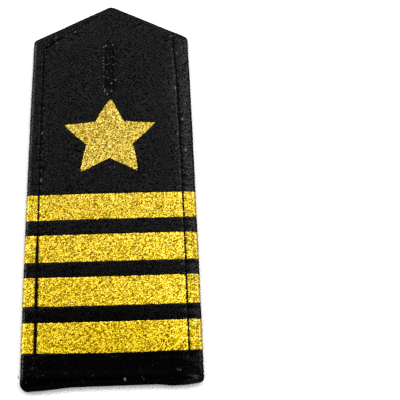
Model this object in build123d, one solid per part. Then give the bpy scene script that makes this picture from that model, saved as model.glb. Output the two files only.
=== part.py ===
from build123d import *
import math
import os

# A costume epaulette: a stiff shoulder board covered in black cloth and topstitched all round,
# with four gold stripes, a gold star and a worked buttonhole under its pointed end.
# Millimetres. +Y points to the pointed end, +Z up, and the flat underside lies on z = 0.
# Places along the board are first measured from its lower end, then the whole is centred.

# The board's outline
board_width = 50.0
side_length = 118.0          # straight side, from the lower end to the shoulder corner
roof_height = 14.0           # the pointed end above the shoulder corners, before rounding
peak_radius = 2.6
shoulder_radius = 1.6
lower_left_radius = 2.4
lower_right_radius = 1.5
hem_sag = 1.0                # how far the soft lower end hangs past a straight line
hem_wave_radius = 9.0

# Shape of the lower end, from its left corner to its right one
HEM_WAVE = [
    # across: share of the half width, sag: share of hem_sag
    dict(across=-1.00, sag=1.00),
    dict(across=-0.72, sag=0.68),
    dict(across=-0.44, sag=0.02),
    dict(across=0.50, sag=0.00),
    dict(across=0.66, sag=0.54),
    dict(across=0.82, sag=0.42),
    dict(across=1.00, sag=-0.30),
]

# The board's section
rim_thickness = 2.3          # the sewn margin outside the seam
field_rise = 0.6             # the padded field inside the seam stands this much higher
field_round = 0.5            # soft edge of the padded field beside the seam
top_roll = 1.25              # roll of the cloth over the upper edge
under_roll = 0.9             # roll of the cloth at the underside
top_roll_limit = 0.56        # no roll takes more than this share of the rim's thickness
under_roll_limit = 0.4

# The channel that the topstitching pulls into the cloth
seam_margin = 4.0            # from the board's edge in to the seam
channel_radius = 0.55
channel_depth = 0.45
channel_ledge = 0.05         # flat cloth between the channel and the padded field's wall
channel_corner_radius = 1.8

# Corners of the seam, which was guided by hand and runs a little uneven
SEAM_CORNERS = [
    # across: share of the half width inside the margin, inset: share of the margin, from this end
    dict(across=-0.988, inset=1.00, end="hem"),
    dict(across=1.007, inset=1.00, end="hem"),
    dict(across=0.998, inset=5.80, end="roof"),
    dict(across=0.957, inset=0.62, end="roof"),
    dict(across=-0.167, inset=0.50, end="roof"),
    dict(across=-1.021, inset=1.40, end="roof"),
]

# Gold stripes, numbered from the pointed end
stripe_count = 4
stripe_width = 9.0
stripe_spacing = 4.75        # black cloth between two stripes
lower_band = 9.0             # black cloth below the last stripe
braid_thickness = 0.22
braid_end_height = 0.6       # a stripe goes round the side and ends this far above the underside

# Gold star
star_radius = 15.0           # centre to a tip
star_waist = 7.45            # centre to a notch
star_points = 5
star_offset = -0.45          # its centre beside the board's middle line
star_thickness = 0.25
star_edge = 0.1              # bevel of its woven edge

# Buttonhole, in line above the star
buttonhole_length = 21.8     # over the thread at both ends
buttonhole_width = 4.6
buttonhole_above_star = 0.5  # between the star's upper tip and the thread
buttonhole_offset = -0.35    # its centre beside the board's middle line
slit_length = 15.4
slit_width = 1.2
thread_height = 0.45         # the worked edge above the cloth
thread_lining = 0.3          # thread round the slit's wall
thread_under = 0.3           # thread on the underside
thread_round = 0.18

# Of the cloth above the stripes that star and buttonhole leave free, the share below the star
free_share_below = 0.325

fit_gap = 0.05               # between any two pieces
overrun = 1.0                # how far a cutting shape runs past what it cuts

half_width = board_width / 2
peak_y = side_length + roof_height
field_top = rim_thickness + field_rise
upper_roll = min(top_roll, top_roll_limit * rim_thickness)
lower_roll = min(under_roll, under_roll_limit * rim_thickness)
channel_to_field = channel_radius + channel_ledge
stripe_pitch = stripe_width + stripe_spacing
stripes_top = lower_band + stripe_count * stripe_pitch - stripe_spacing


def star_corners():
    """Tips and notches about the star's centre, the first tip towards the pointed end."""
    corners = []
    for step in range(2 * star_points):
        radius = star_radius if step % 2 == 0 else star_waist
        angle = math.pi / 2 + step * math.pi / star_points
        corners.append((radius * math.cos(angle), radius * math.sin(angle)))
    return corners


star_reach_down = -min(y for x, y in star_corners())
ornament_length = star_reach_down + star_radius + buttonhole_above_star + buttonhole_length
free_length = peak_y - stripes_top - ornament_length
star_y = stripes_top + free_share_below * free_length + star_reach_down
buttonhole_y = star_y + star_radius + buttonhole_above_star + buttonhole_length / 2


def board_outline():
    """The board seen from above: a pentagon with rounded corners and a soft lower end."""
    lower_end = [(row["across"] * half_width, -row["sag"] * hem_sag) for row in HEM_WAVE]
    upper_end = [(half_width, side_length), (0, peak_y), (-half_width, side_length)]
    radii = [lower_left_radius] + [hem_wave_radius] * (len(lower_end) - 2) + [lower_right_radius]
    radii += [shoulder_radius, peak_radius, shoulder_radius]
    return make_face(FilletPolyline(*lower_end, *upper_end, radius=radii, close=True))


def seam_path():
    """The closed line of topstitching."""
    corners = []
    for row in SEAM_CORNERS:
        x = row["across"] * (half_width - seam_margin)
        inset = row["inset"] * seam_margin
        roof_edge = peak_y - roof_height * abs(x) / half_width
        corners.append((x, inset if row["end"] == "hem" else roof_edge - inset))
    return FilletPolyline(*corners, radius=channel_corner_radius, close=True)


def rim_form(grow):
    """The sewn slab with its rolled edges, every face moved out by grow."""
    face = offset(board_outline(), amount=grow) if grow else board_outline()
    slab = extrude(Pos(0, 0, -grow) * face, amount=rim_thickness + 2 * grow)
    slab = fillet(slab.faces().sort_by(Axis.Z)[-1].edges(), radius=upper_roll + grow)
    return fillet(slab.faces().sort_by(Axis.Z)[0].edges(), radius=lower_roll + grow)


def field_form(grow):
    """The padded field inside the seam, every face moved out by grow."""
    face = offset(make_face(seam_path()), amount=grow - channel_to_field)
    middle = rim_thickness / 2
    pad = extrude(Pos(0, 0, middle) * face, amount=field_top + grow - middle)
    return fillet(pad.faces().sort_by(Axis.Z)[-1].edges(), radius=field_round + grow)


def channel_form(grow):
    """What the seam's channel takes away, its wall moved by grow."""
    height = rim_thickness - channel_depth + channel_radius
    path = Pos(0, 0, height) * seam_path()
    section = Plane(origin=path @ 0, z_dir=path % 0) * Circle(channel_radius - grow)
    return sweep(section, path=path)


def padded_board(grow):
    """The covered board without its buttonhole, its surface moved out by grow."""
    return rim_form(grow) + field_form(grow) - channel_form(grow)


def buttonhole_prism(length, width, bottom, top):
    """An upright prism with round ends, centred on the buttonhole."""
    face = Pos(buttonhole_offset, buttonhole_y) * Rot(0, 0, 90) * SlotOverall(length, width)
    return extrude(Pos(0, 0, bottom) * face, amount=top - bottom)


def make_board():
    """The black covered board, with the buttonhole cut through and a rebate under it."""
    wall = 2 * (thread_lining + fit_gap)
    slit = buttonhole_prism(slit_length + wall, slit_width + wall, -overrun, field_top + overrun)
    rebate = buttonhole_prism(buttonhole_length, buttonhole_width, -overrun, thread_under + 2 * fit_gap)
    return padded_board(0) - slit - rebate


def make_buttonhole_stitching():
    """Thread worked round the slit: a ring on the cloth, a lining and a ring underneath."""
    upper_z = field_top + fit_gap
    top = upper_z + thread_height
    upper = buttonhole_prism(buttonhole_length, buttonhole_width, upper_z, top)
    upper = fillet(upper.faces().sort_by(Axis.Z)[-1].edges(), radius=thread_round)
    lining_length = slit_length + 2 * thread_lining
    lining_width = slit_width + 2 * thread_lining
    lining = buttonhole_prism(lining_length, lining_width, fit_gap, (upper_z + top) / 2)
    under_length = buttonhole_length - 2 * fit_gap
    under_width = buttonhole_width - 2 * fit_gap
    under = buttonhole_prism(under_length, under_width, fit_gap, fit_gap + thread_under)
    slit = buttonhole_prism(slit_length, slit_width, -overrun, top + overrun)
    return upper + lining + under - slit


def make_stripes():
    """Thin gold bands that follow the board over its seams and round both sides."""
    inner = padded_board(fit_gap)
    outer = padded_board(fit_gap + braid_thickness)
    reach = half_width + braid_thickness + overrun
    height = field_top + braid_thickness + overrun
    corner = (Align.CENTER, Align.MAX, Align.MIN)
    stripes = []
    for number in range(stripe_count):
        upper_y = stripes_top - number * stripe_pitch
        band = Pos(0, upper_y, braid_end_height) * Box(2 * reach, stripe_width, height, align=corner)
        stripes.append((outer & band) - inner)
    return stripes


def make_star():
    """The gold star, flat on the padded field, one tip towards the pointed end."""
    star = extrude(make_face(Polyline(*star_corners(), close=True)), amount=star_thickness)
    star = chamfer(star.faces().sort_by(Axis.Z)[-1].edges(), length=star_edge)
    return Pos(star_offset, star_y, field_top + fit_gap) * star


def main():
    pieces = {"board": make_board(), "star": make_star()}
    pieces["buttonhole_stitching"] = make_buttonhole_stitching()
    for number, stripe in enumerate(make_stripes(), start=1):
        pieces[f"stripe_{number}"] = stripe
    middle_y = pieces["board"].bounding_box().center().Y
    os.makedirs("parts", exist_ok=True)
    for name, piece in pieces.items():
        export_step(Pos(0, -middle_y, 0) * piece, f"parts/{name}.step")
    print("from the lower end to the origin", round(middle_y, 4))
    print("star's centre and buttonhole's centre", round(star_y, 4), round(buttonhole_y, 4))


main()
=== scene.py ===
"""A costume epaulette: black shoulder board, gold woven stripes and star, worked buttonhole.

Lengths are millimetres in the board's own frame, and become metres when a mesh is made. The frame's
+X is across, +Y along the board to its pointed end, and +Z up from the flat underside.
"""
import math

import bpy
import numpy as np
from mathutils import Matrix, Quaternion, Vector


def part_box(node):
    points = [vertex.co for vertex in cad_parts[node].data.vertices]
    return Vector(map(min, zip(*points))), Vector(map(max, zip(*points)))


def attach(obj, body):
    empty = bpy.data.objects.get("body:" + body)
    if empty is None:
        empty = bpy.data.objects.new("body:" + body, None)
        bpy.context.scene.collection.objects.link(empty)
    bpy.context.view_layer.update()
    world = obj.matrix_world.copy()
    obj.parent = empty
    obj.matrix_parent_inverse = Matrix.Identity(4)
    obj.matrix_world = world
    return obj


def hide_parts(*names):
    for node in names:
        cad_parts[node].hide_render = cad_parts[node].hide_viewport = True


MM = 0.001

# The board's outline, as its solid has it
SIDE_LENGTH = 118.0
ROOF_HEIGHT = 14.0           # the pointed end above the shoulder corners
PEAK_RADIUS = 2.6
SHOULDER_RADIUS = 1.6
LOWER_LEFT_RADIUS = 2.4
LOWER_RIGHT_RADIUS = 1.5
HEM_SAG = 1.0
HEM_WAVE_RADIUS = 9.0
HEM_WAVE = (
    # across as a share of the half width, sag as a share of HEM_SAG
    (-1.0, 1.0),
    (-0.72, 0.68),
    (-0.44, 0.02),
    (0.5, 0.0),
    (0.66, 0.54),
    (0.82, 0.42),
    (1.0, -0.3),
)
LOWER_BAND = 9.0             # black cloth below the last stripe
CORNER_STEPS = 24            # of a rounded corner

# The board's section, as its solid has it
RIM_THICKNESS = 2.3
FIELD_RISE = 0.6
TOP_ROLL = 1.25
UNDER_ROLL = 0.9
ROLL_FOOT = RIM_THICKNESS - TOP_ROLL     # where the upper roll ends
SIDE_STRAIGHT = ROLL_FOOT - UNDER_ROLL   # between the rolls
SEAM_MARGIN = 4.0
SEAM_CORNERS = (
    # across as a share of the half width inside the margin, inset as a share of the margin, which end
    (-0.988, 1.0, "hem"),
    (1.007, 1.0, "hem"),
    (0.998, 5.8, "roof"),
    (0.957, 0.62, "roof"),
    (-0.167, 0.5, "roof"),
    (-1.021, 1.4, "roof"),
)
SEAM_CORNER_RADIUS = 1.8
BRAID_END_HEIGHT = 0.6       # a stripe ends this far above the underside
STAR_POINTS = 5
STAR_EDGES = 2 * STAR_POINTS
STAR_WAIST = 7.45
SLIT_LENGTH = 15.4
SLIT_WIDTH = 1.2

# The frame's own sizes and places


def box_mm(node):
    """Lowest and highest corner of a solid of the frame, in millimetres."""
    low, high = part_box(node)
    return np.array(low) / MM, np.array(high) / MM


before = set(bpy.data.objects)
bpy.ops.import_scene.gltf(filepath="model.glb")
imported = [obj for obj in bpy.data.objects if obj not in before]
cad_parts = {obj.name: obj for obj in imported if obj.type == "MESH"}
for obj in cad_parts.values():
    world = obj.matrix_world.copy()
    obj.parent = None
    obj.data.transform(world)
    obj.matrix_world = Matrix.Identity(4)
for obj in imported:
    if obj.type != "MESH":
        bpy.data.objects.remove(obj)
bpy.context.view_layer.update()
half_width = box_mm("board")[1][0]
lower_end = box_mm("stripe_4")[0][1] - LOWER_BAND
shoulder_y = lower_end + SIDE_LENGTH
peak_y = shoulder_y + ROOF_HEIGHT
field_top = RIM_THICKNESS + FIELD_RISE
stripe_ranges = [(low[1], high[1]) for low, high in (box_mm(f"stripe_{n}") for n in (1, 2, 3, 4))]
star_low, star_high = box_mm("star")
star_radius = (star_high[1] - star_low[1]) / (1 + math.cos(math.pi / STAR_POINTS))
star_centre = np.array([(star_low[0] + star_high[0]) / 2, star_high[1] - star_radius])
hole_low, hole_high = box_mm("buttonhole_stitching")
hole_centre = (hole_low[:2] + hole_high[:2]) / 2
hole_width, hole_length = (hole_high - hole_low)[:2]
hole_top = hole_high[2]

# Seeds of everything random but the swells; a stripe adds its number
SEEDS = {
    "wrinkles": 12, "stitches": 51, "needle_holes": 52, "thread_ends": 61, "hole_threads": 71,
    "hole_glints": 72, "sheen_specks": 91, "lower_cut": 100, "upper_cut": 200, "stripe_floats": 300,
    "lower_beads": 400, "upper_beads": 500, "star_cut": 600, "star_floats": 700, "star_beads": 701,
}
LEAST_LENGTH = 1e-12         # of a vector before it is scaled to length one
NOISE_SIZE = 256
NOISE_START = (97.3, 41.7)

# Where the cloth's real outline lies, beside the solid's
COVER_INSET = 0.07           # the cover lies this far inside, so that the gold stands proud of it
EDGE_BOWS = (0.22, 0.13)     # how far the left and the right side bow outwards
LOWER_LEFT_TAPER = 0.2       # how far the left side comes in at its lower end
ROOF_PLACE = 0.09            # how far the roof stands out at its left, and twice as far at its right
SHOULDER_LIFT = 0.2          # and this much more round the right shoulder
SHOULDER_REACH = 8.0
EDGE_UNEVENNESS = ((0.05, 7.0, 31), (0.02, 2.4, 32))     # height, length of a swell, seed

# Soft edges of parts of the board: where one begins or ends, and over what width
ROOF_EDGE = (-1.0, 2.5)      # along, from the shoulder corners
ROOF_RIGHT = (-4.0, 8.0)     # across
SIDE_EDGE = (-2.0, 1.5)      # across, from a side edge
SIDE_HALF = 8.0              # over what width the right half begins, halfway out
ROOF_LEFT_HALF = 4.0         # over what width the roof's left half begins, at the middle

# Relief of the field and its seam
SEAM_RISE = 0.02             # of the field's rise, this much comes right beside the seam
SEAM_RISE_EDGE = (0.1, 2.0)
CROWN_WIDTH = 21.0           # and the rest over this width, as a gentle crown
CHANNEL_DEPTH = 0.05
CHANNEL_WIDTH = 0.34
# Depth, reach along and reach across of a needle hole and of the pucker round it
DIMPLES = ((0.16, 0.38, 0.38), (0.065, 0.75, 1.5))
DIMPLE_SPREAD = (0.3, 1.7)   # least and most of that at one hole
DIMPLE_REACH = 3.5
SEAM_BOWS = (-0.3, 0.17)     # how far the left and the right seam bow to the right
SEAM_WANDER = ((0.07, 5.0, 41),)         # height, length of a swell, seed
CORNER_SOFT = 2.1            # how softly the distance from the seam turns its corners
UNDER_CHANNEL = 0.22
UNDER_CHANNEL_WIDTH = 1.6 * CHANNEL_WIDTH

# Where the seam barely shows
SEAM_FAINT = 0.15            # the share of channel, puckers and thread that is left there
FAINT_ROOF = (-1.5, 1.5)     # along, from the shoulder corners
FAINT_RIGHT = (-4.4, 1.2)    # across, from the right edge
FAINT_ACROSS = ((0.55, -18.0, 5.0), (0.45, -5.0, 4.0))   # share, where across it begins, width
HEM_PLAIN = (6.0, 2.0)       # along, from the lower end
HEM_PLAIN_SIDES = (-5.5, 3.0)

# Relief of the sewn margins
MARGIN_CROWN = 0.03
MARGIN_DROOP = 0.36          # the right margin falls this much towards its edge
LEFT_DROOP = 0.22            # and the left one this much, close to its edge
LEFT_DROOP_TOP = -2.0        # where it goes over into the roof's, from the shoulder corners
GOLD_STIFFNESS = 0.5         # the share of the right margin's fall that the gold holds up
GOLD_STIFF_EDGE = (-0.6, 1.2)
LEAST_MARGIN = 0.3           # a margin narrower than this counts as this wide
CORNER_DROOP = 0.5           # the lower right corner falls off by this much more
CORNER_ACROSS = (-3.4, 2.4)
CORNER_ALONG = (1.7, 0.3)    # its reach, and its middle from the lower end
WRINKLE_HEIGHT = 0.012
RIGHT_WRINKLE_HEIGHT = 0.06
WRINKLE_REACH = 34.0         # how far up and down the right margin is wrinkled
WRINKLE_MIDDLE = 8.0         # from the star's centre
WRINKLE_SIDE = 1.4           # how far in the wrinkles lie across the board, in seam margins
WRINKLE_CELL = 1.25
WRINKLE_STRETCH = (0.28, 1.9)
WRINKLE_MARGIN = (0.3, 0.6)
UNEVENNESS = ((0.05, 17.0, 21), (0.015, 5.0, 22))
UNEVEN_EDGE = (TOP_ROLL, 2.0)
FOLD_START = np.array([half_width - 1.2, lower_end + 0.7])
FOLD_END = np.array([half_width - 7.0, lower_end + 1.7])
FOLD_HEIGHT = 0.26
FOLD_WIDTH = 0.8
FOLD_ENDS = ((-0.15, 0.25), (1.1, 1 / 1.5))              # shares of its length
GOLD_BED = 0.13              # how far the cloth gives way under the gold
GOLD_BED_EDGE = (0.2, 0.4)
FAR_INSIDE = 1000.0          # start values of the least and of the greatest distance
FAR_OUTSIDE = -1.0

# How much glossier or duller than elsewhere the cloth is worn
EDGE_GLOSS = 2.0             # along the rolled edges
EDGE_GLOSS_END = (1.7, 0.8)
MARGIN_GLOSS = 1.45          # on the right margin, where it is pulled tight
MARGIN_GLOSS_END = (-0.2, 0.5)
UPPER_MARGIN_GLOSS = 1.8     # as much again towards the shoulder
UPPER_MARGIN = (-18.0, 10.0)
HEM_DULLNESS = 0.88          # the share of the gloss that the lower end lacks
HEM_DULL_END = (3.2, 1.5)
CORNER_GLOSS = 1.5           # at the lower right corner
CORNER_GLOSS_ACROSS = (2.3, -2.8)        # its reach, and its middle from the right edge
CORNER_GLOSS_ALONG = (1.5, 0.2)

# Pale marks: lint and pulled-up fibres, painted glints where the stitches catch the light, and painted
# sheen specks on the right margin
MARK_RADIUS = 0.15
# lint and fibres, and highlights painted where the seams' stitches glint
COVER_LINT_AND_GLINTS = (
    # across, along from the lower end, half length along, strength
    (-21.2, 113.8, 0.0, 1.0),
    (-17.5, 116.6, 0.0, 0.8),
    (-17.8, 118.6, 0.0, 0.6),
    (-14.3, 119.5, 0.0, 0.6),
    (-11.8, 121.0, 0.0, 0.6),
    (-8.7, 123.8, 0.0, 0.4),
    (9.7, 122.5, 0.0, 0.4),
    (19.5, 118.4, 0.0, 0.9),
    (21.2, 111.4, 0.0, 0.5),
    (20.3, 102.6, 0.0, 0.6),
    (18.8, 99.5, 0.0, 0.5),
    (20.2, 97.5, 0.3, 0.5),
    (22.1, 85.6, 0.2, 0.8),
    (20.4, 79.7, 0.0, 0.6),
    (22.6, 74.2, 0.3, 0.5),
    (23.5, 67.7, 0.0, 0.5),
    (-21.4, 87.0, 0.0, 0.7),
    (-21.2, 81.4, 0.2, 1.0),
    (-20.9, 64.6, 0.4, 0.5),
    (10.4, 65.4, 0.0, 0.4),
    (1.0, 68.4, 0.0, 0.2),
    (21.3, 33.9, 0.1, 0.9),
    (18.5, 3.6, 0.1, 0.3),
    (3.5, 1.3, 0.2, 0.42),
)
# highlights painted on the buttonhole's threads where they glint
HOLE_GLINTS = (
    (0.2, 116.2, 0.0, 0.8),
    (-1.6, 114.2, 0.0, 0.9),
    (0.8, 106.4, 0.0, 0.4),
    (1.4, 100.5, 0.0, 1.0),
    (0.2, 99.2, 0.1, 0.5),
    (-2.0, 96.7, 0.0, 0.6),
    (-1.1, 95.1, 0.0, 1.0),
    (0.2, 96.2, 0.0, 0.6),
)
# pale specks painted along the right margin as its sheen
SHEEN_SPECK_STRENGTH = 0.16
SHEEN_SPECK_CELL = 0.32
SHEEN_SPECK_RANGE = (0.5, 0.4)      # of the noise, where a painted sheen speck begins and how far up it is full
SHEEN_SPECK_BORDER = 0.6
SHEEN_SPECK_END = -0.5              # from the right edge
SHEEN_SPECK_MIDDLE = -4.0           # from the star's centre

# Topstitching and loose thread ends
STITCH_PITCH = 2.85
STITCH_RADIUS = 0.26
STITCH_TWIST = 1.15          # length of one turn of its two plies
STITCH_POINTS = 13
STITCH_PHASES = (0, 6)       # radians by which its twist may be turned
STITCH_ARCH = (0.03, 0.97)   # the part of an arch that a stitch makes
STITCH_FLATNESS = 0.2
STITCH_GAP = 0.045           # share of the pitch that a stitch leaves free at either end
HEAVY_GAP = 0.02             # and where the thread is heavier
HEAVY_GAIN = 0.85            # how much thicker the lower left thread is
HEAVY_ALONG = (-1.0, 2.0)    # from the second stripe's upper edge
HEAVY_ACROSS = (5.0, 8.0)
FAINT_RADIUS = 0.4           # share of a stitch's thickness where the seam shows least
FAINT_SINK = 0.28            # how deep the thread lies there
STITCH_RISE = 0.8            # of its radius, above the cloth in the middle
STITCH_DIP = 0.6             # of its radius, below the cloth at its ends
STITCH_SLACK = 0.04
STITCH_END_DIP = 0.1
UNDER_STITCH = {"radius": 0.13, "twist": 1.3, "sides": 5}
UNDER_STITCH_POINTS = 9
UNDER_STITCH_GAP = 0.06
UNDER_STITCH_HEIGHT = 0.2
UNDER_STITCH_FLATNESS = 0.5
THREAD_TAPER = 0.55          # of the radius, at a thread's ends
THREAD_TIP = 0.6             # how far the tip reaches past them, of the radius
PLY_RADIUS = 0.62            # of the whole thread's radius
PLY_OFFSET = 0.5
THREAD_ENDS = (-8.3, -62.5)  # along
END_STRANDS = 2
END_POINTS = 8
END_ROOT = 0.2               # how far in from the left edge they begin
END_REACH = 0.5              # how far out from there the longest comes
END_LEAST = 0.7              # and which share of that the shortest does
END_LEAN = 0.5               # at most, to either side
END_HEIGHT = 1.4
END_RISE = 0.5
END_CURL = 2.5               # radians over which they rise and droop again
END_STEP = (0.15, 0.1)       # from one strand to the next, along and up
THREAD_END = {"radius": 0.07, "twist": 0.8, "sides": 5, "plies": 1}

# Gold weave
GOLD_PROUD = 0.02
GOLD_DEPTH = 0.08            # the weave's back below the cloth that it is sewn into
GOLD_BORDER = 0.18           # over what width the weave sinks at its cut
STAR_BORDER_RINGS = 2.0      # and over how many rings of points the star's does
CUT_LIFT = 0.15              # the share of its height that is left at the cut
EDGE_SERRATION = 0.13
SERRATION_CELL = 0.55
FLOAT_HEIGHT = 0.045
FLOAT_PITCH_ACROSS = 0.27
FLOAT_PITCH_ALONG = 0.26
FLOAT_HALF_LENGTH = 0.31
FLOAT_HALF_WIDTH = 0.118
FLOAT_JITTER = 0.3
FLOAT_LEVELS = 0.35
FLOAT_ANGLE = math.radians(42)
FLOAT_ANGLE_SPREAD = math.radians(18)
FLOAT_LEFT_SHARE = 0.3
FLOAT_LATTICE = 512          # floats to a repeat
FLOAT_NEIGHBOURS = range(-2, 3)          # cells to either side whose floats can reach a point
STRIPE_WEAVE_START = (300.0, 100.0)
STAR_WEAVE_START = (300.0, 300.0)
BEAD_PITCH = 0.95
BEAD_JITTER = 0.3
BEAD_STRENGTHS = (-0.6, 1.0)
BEAD_HIGHLIGHT = 2.0             # how fast a bead's colour turns pale with its height: a highlight painted on its top
BEAD_HALF_LENGTH = 0.3
BEAD_PLACE = 0.25            # its middle, in from the cut
BEAD_HALF_WIDTH = 0.26
STRIPES = (
    # how far the lower and the upper cut lie off the solid's, their tilts, the ends' bow, painted shade
    # over the whole stripe
    {"shifts": (0.27, -0.16), "tilts": (0.0, 0.0), "bow": 0.33, "painted_darkening": 0.3},
    {"shifts": (0.2, 0.0), "tilts": (-0.07, 0.0), "bow": 0.4, "painted_darkening": 0.05},
    {"shifts": (0.14, 0.06), "tilts": (-0.14, -0.1), "bow": 0.52, "painted_darkening": 0.0},
    {"shifts": (-0.06, -0.02), "tilts": (-0.21, -0.12), "bow": 0.5, "painted_darkening": 0.0},
)
# How far down the side from the upper roll a stripe goes, and how far from the middle along the cloth
STRIPE_END = SIDE_STRAIGHT + UNDER_ROLL * math.asin(1 - BRAID_END_HEIGHT / UNDER_ROLL)
STRIPE_REACH = half_width - COVER_INSET - TOP_ROLL + TOP_ROLL * math.pi / 2 + STRIPE_END
FLANKS = (2.3, 1.2)          # how far in from its right and left edge the shade painted on a stripe's flank reaches
FLANK_EDGE = 0.8
STAR_BLUNT = 0.4
STAR_BLUNT_REACH = 0.9
STAR_TIP_SHIFTS = ((0.4, -0.2), (0.0, 0.65), (-0.1, -0.25), (-0.35, -0.25), (0.0, 0.8))
STAR_BEAD_STRETCH = 1.3      # length along the star's edges for a length round its centre
STAR_RING_STEP = 0.05        # each ring of points counts as at least this far in from the next

# Buttonhole
HOLE_LEVELS = {"underside": 0.0, "cloth": field_top, "top": hole_top}
HOLE_FORM = (
    # what the heights are measured from, then pairs of: how far out from the slit, height
    ("underside", ((-0.1, 0.1), (-0.45, 0.7), (-0.57, 1.4), (-0.57, 2.2))),
    ("cloth", ((-0.57, 0.1),)),
    ("top", ((-0.42, -0.22), (-0.1, -0.09), (0.32, -0.02), (0.56, 0.0), (0.8, -0.02), (1.05, -0.06))),
    ("top", ((1.3, -0.13), (1.52, -0.27))),
    ("cloth", ((1.66, 0.02), (1.7, -0.08), (1.45, -0.16), (0.9, -0.18), (0.32, -0.2))),
    ("underside", ((0.3, 2.0), (0.3, 1.2), (0.32, 0.42), (1.0, 0.4), (1.62, 0.36), (1.68, 0.2))),
    ("underside", ((1.6, 0.08), (1.1, 0.05), (0.5, 0.05))),
)
HOLE_SECTION = np.array([(out, HOLE_LEVELS[level] + z) for level, pairs in HOLE_FORM for out, z in pairs])
SATIN_PITCH = 0.42
SATIN_RELIEF = 0.09
SATIN_STEPS = 7
SATIN_REACHES = (-0.09, 0.05)
SATIN_HEIGHTS = (-0.08, 0.04)
LINING_RELIEF = 0.3          # share of the threads' relief inside the slit
HOLE_LAP_OFFSET = 0.85       # where the threads are evenly spaced, out from the slit
SLIT_STRAIGHT = SLIT_LENGTH - SLIT_WIDTH
HOLE_HALF_LAP = SLIT_STRAIGHT + math.pi * (SLIT_WIDTH / 2 + HOLE_LAP_OFFSET)
HOLE_END_STRETCH = 1.11      # how much wider the worked edge is round the slit's ends
HOLE_UPPER = -0.05           # what lies above this, from the cloth, follows the threads
HOLE_RAISED = 0.1            # and above this, each thread's own height too
HOLE_STRETCH_FROM = 0.35
HOLE_REACH_FROM = 0.5
HOLE_LIP = 0.2               # the row of knots along the slit
HOLE_KNOT_HEIGHT = 0.06
HOLE_RIM = (1.2, 1.6)        # where the needle holes lie, out from the slit
HOLE_LEFT = -0.5             # the left side's threads point further to the left than this
HOLE_GLINT_STEP = 3          # every third thread on the left gets a painted glint at its needle hole
HOLE_GLINT_CROWN = (0.5, 0.5)            # from what share of a thread's height it shows, and over how much
HOLE_GLINT_STRENGTHS = (0.05, 0.65)
HOLE_GLINT_SHARE = 0.07      # the share of other places that get a painted glint
HOLE_STRAY_GLINT_TONE = 0.5
COVER_SLIT_ROOM = 0.7        # how much wider the cover's slit is than the slit
SLIT_CUT = (-1.0, 5.0)       # lowest and highest point of the cutting shapes
REBATE_CUT = (-1.0, 0.4)
CUTTER_STEPS = 48

# Mesh cells
FINE_CELL = 0.25
COARSE_CELL = 0.42
GRADING_STEPS = 4001
FINE_END = (6.0, 3.0)        # from the board's edges
TOP_ROLL_STEPS = 7
UNDER_ROLL_STEPS = 5
GOLD_CELL = 0.09
STAR_RINGS = 96
BACK_RATIO = 4

# Materials, in metres
TWILL_TURNS = (9050.0, -6350.0, 0.0)     # radians of the twill's phase for each metre along X, Y and Z
TWILL_WANDER = 4.0
TWILL_WANDER_SCALE = 250.0
TWILL_GLOSS = (0.15, 1.95)
TWILL_HEIGHT = 0.000004
YARN_SCALE = 2700.0
YARN_GLOSS = (0.471, 0.561)
WALL_LEVEL = (0.1, 0.5)                  # upright share of the normal, from steep walls to flat cloth
DUST_SCALE = 1500.0
DUST_RANGE = (0.72, 0.8)
CLOTH_COLOUR = (0.0003, 0.0003, 0.0004, 1)
DUST_COLOUR = (0.03, 0.03, 0.03, 1)
# the colour of pale lint, and of painted glints and painted sheen
LINT_AND_HIGHLIGHT_COLOUR = (0.3, 0.29, 0.26, 1)
THREAD_COLOUR = (0.0004, 0.0004, 0.0005, 1)
FIBRE_SCALE = 6000.0
FIBRE_HEIGHT = 0.00004
# the colour left on a stripe's flanks and on duller stripes: painted shade
FLANK_SHADE_TONE = 0.68
GAP_SHADE_RANGE = (0.0, 0.4, 0.25, 1.0)        # the floats' relief, and the colour's tone between and on them: shade painted into the gaps
FILM_RANGE = (0.25, 1.0)
STRIPE_SHADES = (
    # place in the ramp, colour
    (0.0, (0.06, 0.035, 0.0002, 1)),
    (0.3, (0.25, 0.155, 0.0005, 1)),
    (0.6, (0.62, 0.425, 0.002, 1)),
    (0.85, (0.99, 0.715, 0.01, 1)),
    (1.0, (1.0, 0.75, 0.1, 1)),
)
# The star's own paler, pinker gold, with its ramp kept darker as painted shade that offsets the extra light
# its film catches
STAR_SHADES = (
    (0.0, (0.055, 0.033, 0.0004, 1)),
    (0.3, (0.205, 0.134, 0.003, 1)),
    (0.6, (0.48, 0.34, 0.01, 1)),
    (0.85, (0.75, 0.555, 0.06, 1)),
    (1.0, (0.9, 0.68, 0.28, 1)),
)

# Camera, light and floor
CAMERA_PLACE = (13.84, -163.50, 267.80)
CAMERA_TARGET = (26.30, -7.75, 0.0)
CAMERA_ROLL = 2.32
CAMERA_LENS = 93.46
CAMERA_CLIP = 0.01
LIGHTS = (
    # name, azimuth from +Y towards +X, elevation, distance and size in metres, radiance
    ("left_box", -60, 31, 1.2, (0.95, 0.7), 6.8),
    ("right_box", 60, 42, 1.2, (1.2, 0.9), 4.3),
    ("back_panel", 10, 49, 1.0, (1.1, 0.62), 1.9),
    ("front_panel", 180, 50, 1.2, (2.4, 1.3), 1.3),
)
SURROUND = 0.1
FLOOR_TONE = 0.86
FLOOR_SIDE = 650.0


def unit(v):
    """Vectors scaled to length one."""
    return v / np.maximum(np.linalg.norm(v, axis=-1, keepdims=True), LEAST_LENGTH)


def smooth(t):
    """Smooth step from 0 to 1."""
    t = np.clip(t, 0.0, 1.0)
    return t * t * (3.0 - 2.0 * t)


def rise(value, start, width):
    """Smooth step up from 0 at start to 1 at start + width."""
    return smooth((value - start) / width)


def fall(value, end, width):
    """Smooth step down from 1 at end - width to 0 at end."""
    return smooth((end - value) / width)


def bell(value, width, middle=0.0):
    """1 in the middle, and falling off over about the width."""
    return np.exp(-((value - middle) / width) ** 2)


def mix(first, second, share):
    """From the first value at share 0 to the second one at share 1."""
    return first * (1 - share) + second * share


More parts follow.
